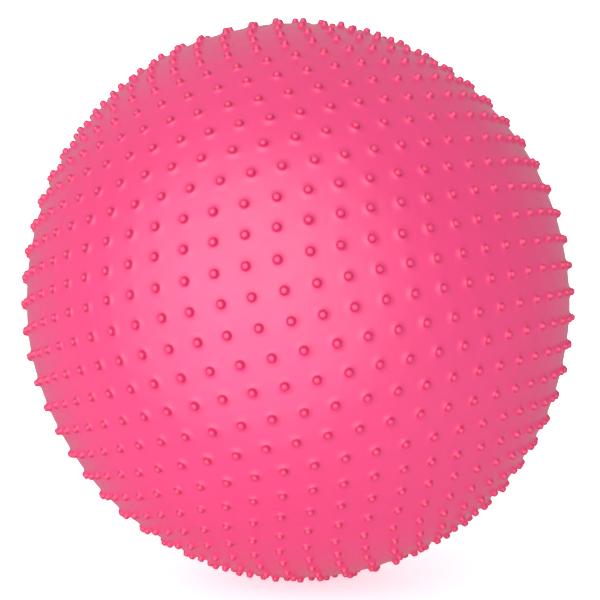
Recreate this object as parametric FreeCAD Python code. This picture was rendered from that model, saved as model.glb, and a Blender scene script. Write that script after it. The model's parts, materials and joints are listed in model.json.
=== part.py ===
import FreeCAD, Part
import math
import os

# Massage gym ball: one hollow vinyl skin with tapering nubs in rows, and a valve at the pole that
# a push-in plug closes. Millimetres. The ball's centre is the origin and +Z is up. The parts are
# drawn with the valve at the top of the Z axis, then leaned together.

# Skin
BALL_DIAMETER = 650.0
WALL = 0.8
OUTER_SECTORS = 16
INNER_SECTORS = 8
INNER_BANDS = 45

# Nubs, moulded in one with the skin
NUB_BASE_RADIUS = 4.8
NUB_HEIGHT = 6.0
NUB_TIP_RADIUS = 3.0
NUB_SIDES = 8
NUB_ROOT_DEPTH = 0.4

# Nub layout: rows run round the valve axis, and every row starts on one meridian
ROWS_TO_POLE = 17
NUB_PITCH = 31.8
START_MERIDIAN = -159.7

# Valve seat, welded into the skin
COLLAR_RADIUS = 13.0
COLLAR_LIP = 0.8
FLANGE_RADIUS = 22.0
FLANGE_THICKNESS = 1.6
NECK_RADIUS = 7.0
NECK_LENGTH = 24.0
NECK_CHAMFER = 1.0
BORE_RADIUS = 4.0
RECESS_RADIUS = 9.7
RECESS_DEPTH = 2.6

# Plug, pushed into the seat
PLUG_FIT = 0.05
HEAD_RADIUS = 9.3
HEAD_THICKNESS = 2.2
HEAD_EDGE_ROUND = 0.6
STEM_RADIUS = 3.4
STEM_LENGTH = 20.0
STEM_TIP_RADIUS = 2.4
STEM_TIP_LENGTH = 4.0
SEAL_RINGS = 4
SEAL_RING_WIDTH = 1.2
SEAL_RING_PITCH = 3.6
SEAL_RING_START = 2.2

# Pull tab on the plug's head, and the notch in the collar that clears it
TAB_REACH = 12.0
TAB_WIDTH = 6.0
TAB_THICKNESS = 1.2
NOTCH_GAP = 0.35

# How the ball has rolled: the valve axis leans to -X and a little to +Y
LEAN_SIDE = 12.5
LEAN_BACK = 2.2

RADIUS = BALL_DIAMETER / 2.0
CENTRE = FreeCAD.Vector(0, 0, 0)
UP = FreeCAD.Vector(0, 0, 1)


def on_sphere(r, radius=RADIUS):
    """Height of a sphere about the origin at distance r from the Z axis."""
    return math.sqrt(radius * radius - r * r)


def turned(points):
    """Solid made by turning a closed outline of (r, z) points round the Z axis."""
    corners = [FreeCAD.Vector(r, 0, z) for r, z in points]
    outline = Part.makePolygon(corners + corners[:1])
    return Part.Face(outline).revolve(CENTRE, UP, 360)


def flat_sided(r, z):
    """Corners of a regular outline of NUB_SIDES sides about the Z axis, r out at the corners."""
    corners = []
    for side in range(NUB_SIDES):
        turn = 2 * math.pi * (side + 0.5) / NUB_SIDES
        corners.append(FreeCAD.Vector(r * math.cos(turn), r * math.sin(turn), z))
    return corners


def nub():
    """One nub at the top of the ball: a tapering peg with flat sides, rooted inside the skin."""
    taper = (NUB_BASE_RADIUS - NUB_TIP_RADIUS) / NUB_HEIGHT
    root = flat_sided(
        NUB_BASE_RADIUS + taper * NUB_ROOT_DEPTH, on_sphere(NUB_BASE_RADIUS) - NUB_ROOT_DEPTH
    )
    tip = flat_sided(NUB_TIP_RADIUS, RADIUS + NUB_HEIGHT)
    outlines = [root[::-1], tip]
    for side in range(NUB_SIDES):
        outlines.append([root[side - 1], root[side], tip[side], tip[side - 1]])
    faces = [Part.Face(Part.makePolygon(corners + corners[:1])) for corners in outlines]
    return Part.makeSolid(Part.makeShell(faces))


def nub_directions():
    """(longitude, latitude) in degrees of every nub. The valve takes the place of the top one."""
    places = []
    for row in range(-ROWS_TO_POLE, ROWS_TO_POLE):
        latitude = 90.0 * row / ROWS_TO_POLE
        girth = 2 * math.pi * RADIUS * math.cos(math.radians(latitude))
        count = max(1, round(girth / NUB_PITCH))
        for place in range(count):
            places.append((START_MERIDIAN + 360.0 * place / count, latitude))
    return places


def on_meridian(radius, latitude):
    """Point over the X axis on a sphere about the origin, at a latitude in degrees."""
    turn = math.radians(latitude)
    return FreeCAD.Vector(radius * math.cos(turn), 0, radius * math.sin(turn))


def between_nub_rows():
    """Latitudes in degrees that part the rows of nubs, with both poles."""
    row_height = 90.0 / ROWS_TO_POLE
    between = [row_height * (row + 0.5) for row in range(-ROWS_TO_POLE, ROWS_TO_POLE)]
    return [-90.0] + between + [90.0]


def patched_ball(radius, latitudes, sectors):
    """Full ball whose surface is parted at the latitudes given, and into equal sectors."""
    faces = []
    for south, north in zip(latitudes[:-1], latitudes[1:]):
        ends = [on_meridian(radius, south), on_meridian(radius, north)]
        arc = Part.Arc(ends[0], on_meridian(radius, (south + north) / 2), ends[1]).toShape()
        patch = arc.revolve(CENTRE, UP, 360.0 / sectors)
        for sector in range(sectors):
            face = patch.copy()
            face.rotate(CENTRE, UP, sector * 360.0 / sectors)
            faces.append(face)
    shell = Part.makeShell(faces)
    shell.sewShape()
    return Part.makeSolid(shell)


def ball_skin():
    """The hollow skin with all its nubs and the round hole for the valve seat."""
    model = nub()
    nubs = []
    for longitude, latitude in nub_directions():
        placed = model.copy()
        placed.rotate(CENTRE, FreeCAD.Vector(0, 1, 0), 90 - latitude)
        placed.rotate(CENTRE, UP, longitude)
        nubs.append(placed)
    outside = patched_ball(RADIUS, between_nub_rows(), OUTER_SECTORS).multiFuse(nubs)
    even_bands = [180.0 * band / INNER_BANDS - 90.0 for band in range(INNER_BANDS + 1)]
    inside = patched_ball(RADIUS - WALL, even_bands, INNER_SECTORS)
    valve_hole = Part.makeCylinder(COLLAR_RADIUS, 2 * NECK_LENGTH, UP * (RADIUS - NECK_LENGTH))
    return outside.cut(inside).cut(valve_hole)


def tab_block(reach, width, low, high):
    """Block from the valve axis out along +X, between two heights."""
    return Part.makeBox(reach, width, high - low, FreeCAD.Vector(0, -width / 2, low))


def collar_top():
    return RADIUS + COLLAR_LIP


def valve_seat():
    """Flange against the inside of the skin, collar through it, and a neck that reaches inwards."""
    inside = RADIUS - WALL
    disc = Part.makeCylinder(FLANGE_RADIUS, 2 * NECK_LENGTH, UP * (RADIUS - NECK_LENGTH))
    flange = Part.makeSphere(inside).cut(Part.makeSphere(inside - FLANGE_THICKNESS)).common(disc)
    low = inside - FLANGE_THICKNESS
    collar = Part.makeCylinder(COLLAR_RADIUS, collar_top() - low, UP * low)
    neck = Part.makeCylinder(NECK_RADIUS, NECK_LENGTH, UP * (RADIUS - NECK_LENGTH))
    neck = neck.makeChamfer(NECK_CHAMFER, [neck.Edges[2]])
    body = flange.multiFuse([collar, neck])
    recess = Part.makeCylinder(RECESS_RADIUS, 2 * RECESS_DEPTH, UP * (collar_top() - RECESS_DEPTH))
    bore = Part.makeCylinder(BORE_RADIUS, 2 * NECK_LENGTH, UP * (RADIUS - 1.5 * NECK_LENGTH))
    notch = tab_block(
        TAB_REACH + NOTCH_GAP,
        TAB_WIDTH + 2 * NOTCH_GAP,
        head_top() - TAB_THICKNESS - NOTCH_GAP,
        RADIUS + NECK_LENGTH,
    )
    return body.cut(recess).cut(bore).cut(notch).removeSplitter()


def head_top():
    return collar_top() - RECESS_DEPTH + PLUG_FIT + HEAD_THICKNESS


def valve_plug():
    """Round head with a pull tab, and a stem with seal rings that fit the bore."""
    head_low = head_top() - HEAD_THICKNESS
    head = Part.makeCylinder(HEAD_RADIUS, HEAD_THICKNESS, UP * head_low)
    head = head.makeFillet(HEAD_EDGE_ROUND, [head.Edges[0]])
    tab = tab_block(TAB_REACH, TAB_WIDTH, head_top() - TAB_THICKNESS, head_top())
    stem_low = head_low - STEM_LENGTH
    stem = turned([
        (0, stem_low),
        (STEM_TIP_RADIUS, stem_low),
        (STEM_RADIUS, stem_low + STEM_TIP_LENGTH),
        (STEM_RADIUS, head_top() - HEAD_EDGE_ROUND),
        (0, head_top() - HEAD_EDGE_ROUND),
    ])
    rings = []
    for ring in range(SEAL_RINGS):
        middle = head_low - SEAL_RING_START - SEAL_RING_PITCH * ring
        rings.append(turned([
            (0, middle - SEAL_RING_WIDTH),
            (STEM_RADIUS, middle - SEAL_RING_WIDTH),
            (BORE_RADIUS - PLUG_FIT, middle - SEAL_RING_WIDTH / 4),
            (BORE_RADIUS - PLUG_FIT, middle + SEAL_RING_WIDTH / 4),
            (STEM_RADIUS, middle + SEAL_RING_WIDTH),
            (0, middle + SEAL_RING_WIDTH),
        ]))
    return head.multiFuse([tab, stem] + rings).removeSplitter()


def lean():
    """The turn that leans the valve axis from +Z."""
    side, back = math.radians(LEAN_SIDE), math.radians(LEAN_BACK)
    axis = FreeCAD.Vector(
        -math.sin(side) * math.cos(back), math.sin(back), math.cos(side) * math.cos(back)
    )
    return FreeCAD.Rotation(UP, axis)


def main():
    os.makedirs("parts", exist_ok=True)
    placement = FreeCAD.Placement(CENTRE, lean())
    for name, shape in (
        ("ball_skin", ball_skin()),
        ("valve_seat", valve_seat()),
        ("valve_plug", valve_plug()),
    ):
        shape.transformed(placement.toMatrix()).exportStep("parts/" + name + ".step")


main()
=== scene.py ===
import json
import math

import bpy
import numpy as np
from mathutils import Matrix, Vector


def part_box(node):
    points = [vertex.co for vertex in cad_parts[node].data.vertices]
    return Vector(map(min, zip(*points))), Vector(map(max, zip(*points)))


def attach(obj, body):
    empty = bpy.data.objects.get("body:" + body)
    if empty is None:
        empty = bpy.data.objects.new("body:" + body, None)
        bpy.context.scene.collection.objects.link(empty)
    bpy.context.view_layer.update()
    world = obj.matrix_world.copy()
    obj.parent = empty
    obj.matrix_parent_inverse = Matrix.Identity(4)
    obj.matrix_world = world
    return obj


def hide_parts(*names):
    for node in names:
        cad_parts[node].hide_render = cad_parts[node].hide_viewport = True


MM = 0.001

# Skin, as in the CAD: a ball with rows of nubs that run round the valve axis
RADIUS = 325.0 * MM
ROWS_TO_POLE = 17
NUB_PITCH = 31.8 * MM
START_MERIDIAN = math.radians(-159.7)
# Blown up, the ball stretches a little along its valve axis, except at the stiff valve
GIRTH_STRETCH = 0.989
POLE_STRETCH = 1.011
VALVE_DIMPLE_REACH = 45.0 * MM
# Share of that reach, from the valve axis out, where the skin has no swells or ripples
VALVE_CALM_SHARE = 0.3

# One nub: (distance from the nub's axis, height) of each ring of its mesh, in millimetres
NUB_TIP_HEIGHT = 6.3
NUB_RINGS = (
    (1.3, 6.2),
    (2.3, 5.95),
    (3.05, 5.45),
    (3.5, 4.7),
    (3.78, 3.9),
    (4.02, 3.1),
    (4.3, 2.3),
    (4.65, 1.65),
    (5.15, 1.15),
    (6.0, 0.78),
    (7.0, 0.47),
    (8.3, 0.19),
    (9.8, 0.03),
)
SIDE_STEPS = 6
SEGMENTS = 4 * SIDE_STEPS
# Share of a row's height that the strip of triangles between two rows takes
STRIP_SHARE = 0.08
# Rim of the valve hole: (distance from the valve axis, height) of each ring, in millimetres, from
# the skin round it to the inner edge of the wall
VALVE_RINGS_MM = ((14.6, 0.0), (13.5, 0.15), (13.05, 0.3), (13.0, -0.8))

# Moulding is never perfect: scatter of the nubs, and slow swells and pulls in the thin skin
NUB_SCATTER = 0.35 * MM
NUB_HEIGHT_SPREAD = 0.05
PUCKER_DEPTH = 0.1 * MM
PUCKER_RADIUS = 11.0 * MM
PUCKER_WIDTH = 2.2 * MM
SWELL_DEPTH = 0.45 * MM
SWELL_SIZE = 120.0 * MM
RIPPLE_DEPTH = 0.05 * MM
RIPPLE_SIZE = 16.0 * MM
# Noise is made of this many waves, whose size varies by these factors
NOISE_WAVES = 24
WAVE_SPREAD = (0.7, 1.4)
# Each kind of scatter has its own random numbers
NUB_SEED = 7
SWELL_SEED = 1
RIPPLE_SEED = 2
PUCKER_SEED = 3

# Colours of the vinyl and of the plug
SKIN_PINK = (0.7, 0.027, 0.168, 1)
SKIN_PINK_DEEP = (0.68, 0.023, 0.157, 1)
# Deeper pink painted on the nubs' flanks as painted shade, for the dark ring round each nub
NUB_FLANK_PAINTED_SHADE = (0.6, 0.006, 0.102, 1)
SEAT_PINK = (0.68, 0.02, 0.13, 1)
SEAT_PINK_DEEP = (0.6, 0.015, 0.11, 1)
DUST = (0.7, 0.5, 0.5, 1)
PLUG_WHITE = (0.82, 0.82, 0.79, 1)
PLUG_WHITE_AGED = (0.78, 0.77, 0.72, 1)

# Studio light: a key light round one direction and a fill that grows from below to above
LIGHT_COLOUR = (1.03, 0.985, 0.97, 1)
KEY_DIRECTION = (-0.36, -1.0, 0.03)
KEY_GLOW = 2.6
# Cosines of the angle from the key direction where the key light starts and where it is full
KEY_EDGE = (0.42, 0.97)
FILL_GLOW = (0.24, 0.54)

# Floor and backdrop: white paper that glows, in metres
PAPER_WHITE = (0.9, 0.9, 0.9, 1)
PAPER_SHADE = (0.882, 0.882, 0.882, 1)
FLOOR_SIZE = 12.0
FLOOR_GLOW = 0.6
BACKDROP_SIZE = 3.2
BACKDROP_DISTANCE = 3.0
BACKDROP_GLOW = 0.75

# Camera: the viewer stands level with the ball's centre, which is a little off the picture's middle
CAMERA_DISTANCE = 4.7 * RADIUS
SENSOR = 36.0
LENS = 75.6
CAMERA_SHIFT = (0.0033, 0.0004)


def unit(lon, lat):
    """Unit vectors for longitudes and latitudes in radians."""
    lon, lat = np.broadcast_arrays(lon, lat)
    return np.stack([np.cos(lat) * np.cos(lon), np.cos(lat) * np.sin(lon), np.sin(lat)], axis=-1)


def smooth_noise(points, size, seed):
    """Smooth noise, about -1 to 1: a sum of waves in fixed random directions."""
    rng = np.random.default_rng(seed)
    total = np.zeros(len(points))
    for _ in range(NOISE_WAVES):
        direction = rng.normal(size=3)
        direction *= 2 * math.pi / (size * np.linalg.norm(direction)) * rng.uniform(*WAVE_SPREAD)
        total += np.sin(points @ direction + rng.uniform(0, 2 * math.pi))
    return total / math.sqrt(NOISE_WAVES)


class SkinMesh:
    """The skin's faces and vertices. Each vertex is a direction from the ball's centre, and a height
    along the axis of its nub."""

    def __init__(self):
        self.parts = []
        self.faces = []
        self.count = 0

    def add(self, direction, height=0.0, axis=(0, 0, 0), radius=1.0):
        """Adds vertices and returns their numbers. radius is their distance from the nub's axis."""
        n = len(direction)
        row = np.empty((n, 8))
        row[:, 0:3] = direction
        row[:, 3] = height
        row[:, 4:7] = axis
        row[:, 7] = radius
        self.parts.append(row)
        numbers = np.arange(self.count, self.count + n)
        self.count += n
        return numbers

    def join(self, inner, outer):
        """Quads between two rings of as many vertices, both anticlockwise seen from outside."""
        self.faces += np.stack([inner, outer, np.roll(outer, -1), np.roll(inner, -1)], axis=1).tolist()

    def fan(self, middle, ring):
        """Triangles between one vertex and the ring round it."""
        self.faces += [[middle, a, b] for a, b in zip(ring, np.roll(ring, -1))]

    def zip_up(self, low, high):
        """Triangles between two rings round the valve axis, each (numbers, rising longitudes)."""
        low, low_lon = low
        high, high_lon = high
        turned = low_lon[0] + (high_lon - low_lon[0]) % (2 * math.pi)
        first = int(np.argmin(turned))
        high, high_lon = np.roll(high, -first), np.roll(turned, -first)
        low_next = np.append(low_lon[1:], low_lon[0] + 2 * math.pi)
        high_next = np.append(high_lon[1:], high_lon[0] + 2 * math.pi)
        i, j = 0, 0
        while i < len(low) or j < len(high):
            a, b = low[i % len(low)], high[j % len(high)]
            if j == len(high) or (i < len(low) and low_next[i] <= high_next[j]):
                i += 1
                self.faces.append([a, low[i % len(low)], b])
            else:
                j += 1
                self.faces.append([a, high[j % len(high)], b])


def square_outline():
    """SEGMENTS points round a square of half side 1, anticlockwise from the middle of the right."""
    points = []
    for step in range(SEGMENTS):
        side, along = divmod(step + SIDE_STEPS // 2, SIDE_STEPS)
        t = 2.0 * along / SIDE_STEPS - 1.0
        points.append(((1, t), (-t, 1), (-1, -t), (t, -1))[side % 4])
    return np.array(points)


OUTLINE = square_outline()
TURN = np.arctan2(OUTLINE[:, 1], OUTLINE[:, 0])


def add_nub(mesh, lon, lat, rng):
    """The tip, flank and foot of one nub, out to a circle round it.

    Returns the numbers and the directions of the circle's vertices."""
    middle = unit(lon, lat)
    east = np.array([-math.sin(lon), math.cos(lon), 0.0])
    north = np.cross(middle, east)
    shift = rng.normal(size=2) * NUB_SCATTER / RADIUS
    axis = middle + east * shift[0] + north * shift[1]
    axis /= np.linalg.norm(axis)
    tall = (1.0 + rng.normal() * NUB_HEIGHT_SPREAD) * MM
    around = np.cos(TURN)[:, None] * east + np.sin(TURN)[:, None] * north
    tip = mesh.add(axis[None], NUB_TIP_HEIGHT * tall, axis, 0.0)[0]
    ring = None
    for radius, height in NUB_RINGS:
        spread = radius * MM / RADIUS
        direction = math.cos(spread) * axis + math.sin(spread) * around
        outer = mesh.add(direction, height * tall, axis, radius * MM)
        if ring is None:
            mesh.fan(tip, outer)
        else:
            mesh.join(ring, outer)
        ring = outer
    return ring, direction


def cell_border(low, high, sides, place):
    """Numbers of the vertices round one nub's cell, in the order of square_outline."""
    here = np.arange(place * SIDE_STEPS, (place + 1) * SIDE_STEPS + 1) % len(low)
    after = (place + 1) % len(sides)
    loop = np.concatenate([
        [low[here[-1]]],
        sides[after],
        high[here][:0:-1],
        [high[here[0]]],
        sides[place][::-1],
        low[here[:-1]],
    ])
    return np.roll(loop, -(SIDE_STEPS // 2))


def add_row(mesh, row, row_height, half_height, rng):
    """One row of nubs, each in a four-sided cell. Returns the row's lower and upper edge."""
    lat = row * row_height
    count = max(1, round(2 * math.pi * RADIUS * math.cos(lat) / NUB_PITCH))
    half_width = math.pi / count
    start = START_MERIDIAN - half_width
    edge_lon = start + np.arange(count * SIDE_STEPS) * 2 * half_width / SIDE_STEPS
    low = mesh.add(unit(edge_lon, lat - half_height))
    high = mesh.add(unit(edge_lon, lat + half_height))
    side_lat = lat + half_height * (2.0 * np.arange(1, SIDE_STEPS) / SIDE_STEPS - 1.0)
    sides = [mesh.add(unit(start + place * 2 * half_width, side_lat)) for place in range(count)]
    for place in range(count):
        lon = START_MERIDIAN + place * 2 * half_width
        ring, direction = add_nub(mesh, lon, lat, rng)
        ring_lon = np.arctan2(direction[:, 1], direction[:, 0])
        ring_lon = lon + (ring_lon - lon + math.pi) % (2 * math.pi) - math.pi
        ring_lat = np.arcsin(direction[:, 2])
        between_lon = (ring_lon + lon + OUTLINE[:, 0] * half_width) / 2
        between_lat = (ring_lat + lat + OUTLINE[:, 1] * half_height) / 2
        between = mesh.add(unit(between_lon, between_lat))
        mesh.join(ring, between)
        mesh.join(between, cell_border(low, high, sides, place))
    return (low, edge_lon), (high, edge_lon)


def skin_topology():
    """The whole skin: the nub at the bottom pole, the rows above it and the rim of the valve hole."""
    mesh = SkinMesh()
    rng = np.random.default_rng(NUB_SEED)
    row_height = math.pi / 2 / ROWS_TO_POLE
    half_height = row_height * (1 - STRIP_SHARE) / 2
    ring, direction = add_nub(mesh, 0.0, -math.pi / 2, rng)
    cap_lon = (math.pi / 2 - TURN) % (2 * math.pi)
    cap = mesh.add(unit(cap_lon, half_height - math.pi / 2))
    mesh.join(ring, cap)
    rising = np.argsort(cap_lon)
    below = (cap[rising], cap_lon[rising])
    for row in range(1 - ROWS_TO_POLE, ROWS_TO_POLE):
        low, high = add_row(mesh, row, row_height, half_height, rng)
        mesh.zip_up(below, low)
        below = high
    outer, lon = below
    for radius, height in VALVE_RINGS_MM:
        spread = radius * MM / RADIUS
        inner = mesh.add(unit(lon, math.pi / 2 - spread), height * MM, (0, 0, 1))
        mesh.join(inner, outer)
        outer = inner
    return mesh


def skin_points(mesh):
    """Places of the skin's vertices about the ball's centre, with the valve axis along +Z, and
    their heights along the axes of the nubs."""
    table = np.concatenate(mesh.parts)
    direction, height, axis, radius = table[:, 0:3], table[:, 3], table[:, 4:7], table[:, 7]
    stretch = np.array([GIRTH_STRETCH, GIRTH_STRETCH, POLE_STRETCH])
    base = direction * stretch * RADIUS
    from_valve = np.where(direction[:, 2] > 0, np.hypot(base[:, 0], base[:, 1]), RADIUS)
    dimple = (POLE_STRETCH - 1) * RADIUS * np.exp(-(from_valve / VALVE_DIMPLE_REACH) ** 2)
    reach = from_valve / VALVE_DIMPLE_REACH
    uneven = np.clip((reach - VALVE_CALM_SHARE) / (1 - VALVE_CALM_SHARE), 0, 1)
    swell = SWELL_DEPTH * smooth_noise(base, SWELL_SIZE, SWELL_SEED)
    ripple = RIPPLE_DEPTH * smooth_noise(base, RIPPLE_SIZE, RIPPLE_SEED)
    pucker = PUCKER_DEPTH * np.exp(-((radius - PUCKER_RADIUS) / PUCKER_WIDTH) ** 2)
    pucker *= 1.0 + smooth_noise(base, 2 * RIPPLE_SIZE, PUCKER_SEED)
    normal = direction / stretch
    normal /= np.linalg.norm(normal, axis=1)[:, None]
    nub_normal = axis / stretch
    nub_normal /= np.maximum(np.linalg.norm(nub_normal, axis=1), 1e-9)[:, None]
    raised = (swell + ripple - pucker) * uneven - dimple
    return base + normal * raised[:, None] + nub_normal * height[:, None], height


def make_skin(centre, lean):
    """The skin as one object, with the share of the nub's height at each vertex as its attribute."""
    mesh = skin_topology()
    points, height = skin_points(mesh)
    data = bpy.data.meshes.new("ball_skin_vinyl")
    data.from_pydata(points.tolist(), [], mesh.faces)
    data.polygons.foreach_set("use_smooth", np.ones(len(data.polygons), bool))
    nub = data.attributes.new("nub", "FLOAT", "POINT")
    nub.data.foreach_set("value", np.clip(height / (NUB_TIP_HEIGHT * MM), 0, 1).astype(np.float32))
    skin = bpy.data.objects.new("ball_skin_vinyl", data)
    bpy.context.collection.objects.link(skin)
    data.transform(lean.to_matrix().to_4x4())
    skin.location = centre
    return skin


def wire(tree, socket, value):
    """Links a socket to another, or sets it to a number or colour."""
    if isinstance(value, bpy.types.NodeSocket):
        tree.links.new(value, socket)
    else:
        socket.default_value = value


def node(tree, kind, inputs, **settings):
    """Adds a shader node, with a socket or value for each input named."""
    made = tree.nodes.new(kind)
    for name, value in settings.items():
        setattr(made, name, value)
    for name, value in inputs.items():
        wire(tree, made.inputs[name], value)
    return made


def noise(tree, place, scale, detail=3.0, distortion=0.0):
    """Noise of about 0 to 1, with scale lumps to the metre."""
    inputs = {"Vector": place, "Scale": scale, "Detail": detail, "Distortion": distortion}
    return node(tree, "ShaderNodeTexNoise", inputs).outputs["Fac"]


def span(tree, value, low, high, to_low=0.0, to_high=1.0):
    """Maps low..high to to_low..to_high, and stays at the ends beyond them."""
    inputs = {"Value": value, "From Min": low, "From Max": high, "To Min": to_low, "To Max": to_high}
    return node(tree, "ShaderNodeMapRange", inputs).outputs["Result"]


def plus(tree, first, second):
    return node(tree, "ShaderNodeMath", {0: first, 1: second}, operation="ADD").outputs["Value"]


def mix(tree, share, first, second):
    """The first colour where share is 0 and the second where it is 1."""
    made = node(tree, "ShaderNodeMix", {}, data_type="RGBA")
    wire(tree, made.inputs[0], share)
    wire(tree, made.inputs[6], first)
    wire(tree, made.inputs[7], second)
    return made.outputs[2]


def bump(tree, height, depth, below=None):
    """depth is the height of the bumps in metres."""
    made = node(tree, "ShaderNodeBump", {"Height": height, "Distance": depth, "Strength": 1.0})
    if below is not None:
        tree.links.new(below, made.inputs["Normal"])
    return made.outputs["Normal"]


def new_material(name, roughness, specular):
    """Returns a new material, its node tree, its shader and the places that its noise is laid on."""
    material = bpy.data.materials.new(name)
    material.use_nodes = True
    tree = material.node_tree
    shader = tree.nodes["Principled BSDF"]
    shader.inputs["Roughness"].default_value = roughness
    shader.inputs["Specular IOR Level"].default_value = specular
    place = node(tree, "ShaderNodeTexCoord", {}).outputs["Object"]
    return material, tree, shader, place


def skin_vinyl():
    """Satin pink vinyl, slightly cloudy, with a fine grain from the mould, and painted shade on the nubs'
    flanks.
    """
    material, tree, shader, place = new_material("skin_vinyl", 0.5, 0.7)
    nub = node(tree, "ShaderNodeAttribute", {}, attribute_name="nub").outputs["Fac"]
    shader.inputs["Coat Weight"].default_value = 0.6
    shader.inputs["Coat Roughness"].default_value = 0.22
    cloud = noise(tree, place, 7.0, 4.0)
    thin = mix(tree, span(tree, cloud, 0.35, 0.65), SKIN_PINK, SKIN_PINK_DEEP)
    # Painted shade: deeper pink on the nubs' flanks, eased part way back towards the skin's pink at the
    # tips
    flank = mix(tree, span(tree, nub, 0.16, 0.4), thin, NUB_FLANK_PAINTED_SHADE)
    tip = mix(tree, span(tree, nub, 0.78, 0.98, 0.0, 0.4), flank, thin)
    wire(tree, shader.inputs["Base Color"], tip)
    grain = noise(tree, place, 1500.0)
    worn = noise(tree, place, 40.0, 5.0)
    wire(tree, shader.inputs["Roughness"], span(tree, worn, 0.3, 0.7, 0.46, 0.56))
    leather = bump(tree, noise(tree, place, 420.0), 0.16 * MM)
    wire(tree, shader.inputs["Normal"], bump(tree, grain, 0.03 * MM, leather))
    return material


def seat_vinyl():
    """The valve's softer vinyl: a little deeper pink than the skin, dull, with specks of dust."""
    material, tree, shader, place = new_material("seat_vinyl", 0.55, 0.5)
    cloud = noise(tree, place, 60.0, 4.0)
    tone = mix(tree, span(tree, cloud, 0.35, 0.65), SEAT_PINK, SEAT_PINK_DEEP)
    dust = span(tree, noise(tree, place, 1200.0, 2.0), 0.62, 0.72, 0.0, 0.25)
    wire(tree, shader.inputs["Base Color"], mix(tree, dust, tone, DUST))
    wire(tree, shader.inputs["Roughness"], span(tree, cloud, 0.3, 0.7, 0.48, 0.62))
    wire(tree, shader.inputs["Normal"], bump(tree, noise(tree, place, 700.0), 0.06 * MM))
    return material


def plug_plastic():
    """Hard off-white plastic, smooth, with faint flow marks from the mould and fine scuffs from thumbs."""
    material, tree, shader, place = new_material("plug_plastic", 0.3, 0.5)
    flow = noise(tree, place, 90.0, distortion=1.5)
    tone = mix(tree, span(tree, flow, 0.3, 0.7), PLUG_WHITE, PLUG_WHITE_AGED)
    wire(tree, shader.inputs["Base Color"], tone)
    scuff = noise(tree, place, 500.0, 6.0)
    wire(tree, shader.inputs["Roughness"], span(tree, scuff, 0.35, 0.7, 0.24, 0.46))
    fine = bump(tree, scuff, 0.03 * MM)
    wire(tree, shader.inputs["Normal"], bump(tree, flow, 0.05 * MM, fine))
    return material


def dress(node_name, material):
    """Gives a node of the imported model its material."""
    piece = frame["nodes"][node_name]
    piece.data.materials.clear()
    piece.data.materials.append(material)


def stage(name, size, place, turn, material):
    """A flat sheet of the set, left out of glossy reflections."""
    bpy.ops.mesh.primitive_plane_add(size=size, location=place, rotation=turn)
    made = bpy.context.object
    made.name = name
    made.data.materials.append(material)
    made.visible_glossy = False


def glowing_paper(name, glow):
    """Plain white paper, faintly cloudy, that gives off white light of its own."""
    material, tree, shader, place = new_material(name, 0.7, 0.2)
    tone = mix(tree, noise(tree, place, 3.0), PAPER_WHITE, PAPER_SHADE)
    wire(tree, shader.inputs["Base Color"], tone)
    shader.inputs["Emission Color"].default_value = (1, 1, 1, 1)
    shader.inputs["Emission Strength"].default_value = glow
    return material


def studio_light():
    """A tent of soft light: brightest round the key direction, dim at the sides and behind."""
    world = bpy.data.worlds.new("studio")
    world.use_nodes = True
    tree = world.node_tree
    place = node(tree, "ShaderNodeTexCoord", {}).outputs["Generated"]
    key = Vector(KEY_DIRECTION).normalized()
    facing = node(tree, "ShaderNodeVectorMath", {0: place, 1: key}, operation="DOT_PRODUCT")
    key_glow = span(tree, facing.outputs["Value"], *KEY_EDGE, 0.0, KEY_GLOW)
    above = node(tree, "ShaderNodeSeparateXYZ", {"Vector": place}).outputs["Z"]
    fill_glow = span(tree, above, -1.0, 1.0, *FILL_GLOW)
    background = tree.nodes["Background"]
    wire(tree, background.inputs["Strength"], plus(tree, key_glow, fill_glow))
    wire(tree, background.inputs["Color"], LIGHT_COLOUR)
    bpy.context.scene.world = world


def add_camera(centre):
    """The camera in front of the ball, looking along +Y."""
    data = bpy.data.cameras.new("camera")
    data.sensor_width = SENSOR
    data.lens = LENS
    data.shift_x, data.shift_y = CAMERA_SHIFT
    camera = bpy.data.objects.new("camera", data)
    camera.location = centre + Vector((0, -CAMERA_DISTANCE, 0))
    camera.rotation_euler = (math.pi / 2, 0, 0)
    bpy.context.collection.objects.link(camera)
    bpy.context.scene.camera = camera


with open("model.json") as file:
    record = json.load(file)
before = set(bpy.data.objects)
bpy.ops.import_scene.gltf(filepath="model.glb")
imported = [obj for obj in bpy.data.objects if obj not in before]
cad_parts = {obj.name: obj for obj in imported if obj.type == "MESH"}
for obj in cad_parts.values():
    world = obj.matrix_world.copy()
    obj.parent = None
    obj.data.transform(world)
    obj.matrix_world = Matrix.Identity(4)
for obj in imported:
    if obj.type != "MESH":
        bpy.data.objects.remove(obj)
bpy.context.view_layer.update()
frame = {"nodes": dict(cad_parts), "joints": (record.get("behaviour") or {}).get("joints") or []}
low, high = (Vector(corner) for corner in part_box("ball_skin"))
centre = (low + high) / 2
valve_axis = Vector(frame["joints"][0]["axis"])
lean = Vector((0, 0, 1)).rotation_difference(valve_axis)
skin = make_skin(centre, lean)
skin.data.materials.append(skin_vinyl())
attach(skin, "ball")
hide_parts("ball_skin")
dress("valve_seat", seat_vinyl())
dress("valve_plug", plug_plastic())

floor_z = min(v.co.z for v in skin.data.vertices) + centre.z
floor_paper = glowing_paper("floor_paper", FLOOR_GLOW)
stage("floor", FLOOR_SIZE, (0, 0, floor_z), (0, 0, 0), floor_paper)
back_paper = glowing_paper("back_paper", BACKDROP_GLOW)
stage("backdrop", BACKDROP_SIZE, (0, BACKDROP_DISTANCE, 0), (math.pi / 2, 0, 0), back_paper)

add_camera(centre)
studio_light()
bpy.context.scene.view_settings.view_transform = "Standard"
